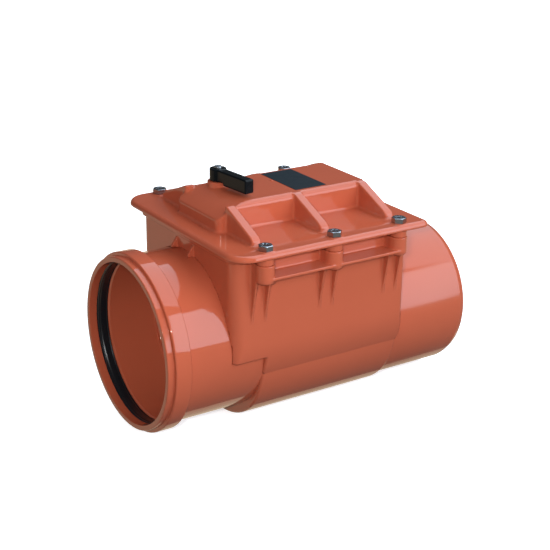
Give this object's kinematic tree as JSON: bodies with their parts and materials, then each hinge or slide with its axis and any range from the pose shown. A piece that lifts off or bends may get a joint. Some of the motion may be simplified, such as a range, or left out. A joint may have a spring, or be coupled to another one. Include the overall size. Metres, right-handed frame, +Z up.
{
  "type": "backwater valve",
  "caption": "Plastic drain backwater valve with socket inlet, spigot outlet, bolted inspection cover, hinged flap and lock lever.",
  "frame": {"origin": "centre of the inlet socket's pipe stop, on the inlet axis", "axes": "+X with the flow, from inlet socket to outlet spigot; +Z up, through the cover; +Y to the left of the flow"},
  "size_m": [0.3653, 0.226, 0.2533],
  "materials": {
    "body_pvc": "glossy injection-moulded orange-brown PVC",
    "seal_rubber": "black moulded rubber with a soft sheen",
    "label_film": "matt blue-black film with a fine grain",
    "zinc_steel": "bright zinc-plated steel",
    "insert_brass": "turned brass",
    "flap_pvc": "moulded orange-brown PVC",
    "stainless_steel": "satin stainless steel",
    "bearing_plastic": "natural white bearing plastic",
    "lever_plastic": "black moulded plastic, semi-gloss"
  },
  "bodies": {
    "valve_body": {"chamber_housing": "body_pvc", "inlet_socket": "body_pvc", "outlet_spigot": "body_pvc", "socket_seal": "seal_rubber", "cover": "body_pvc", "cover_gasket": "seal_rubber", "blank_label": "label_film", "cover_screws": "zinc_steel", "threaded_inserts": "insert_brass", "hinge_bracket": "bearing_plastic", "bracket_screws": "stainless_steel", "hinge_pin": "stainless_steel", "hinge_pin_clip": "stainless_steel"},
    "flap": {"flap_disc": "flap_pvc", "flap_seal": "seal_rubber", "seal_retainer": "flap_pvc", "retainer_screws": "stainless_steel", "hinge_bushes": "bearing_plastic"},
    "lock_lever": {"lever_handle": "lever_plastic", "lever_screw": "zinc_steel", "lock_shaft": "stainless_steel", "shaft_o_rings": "seal_rubber", "thrust_washer": "bearing_plastic", "shaft_clip": "stainless_steel", "lock_finger": "stainless_steel", "roll_pin": "stainless_steel"}
  },
  "joints": [
    {"name": "flap_hinge", "type": "hinge", "parent": "valve_body", "child": "flap", "pos_m": [0.03092, 0, 0.09182], "axis": [0, -1, 0], "range_deg": [0, 52]},
    {"name": "lever_turn", "type": "hinge", "parent": "valve_body", "child": "lock_lever", "pos_m": [0.0447, 0.0229, 0.142], "axis": [0, 0, 1], "range_deg": [0, 180]}
  ]
}
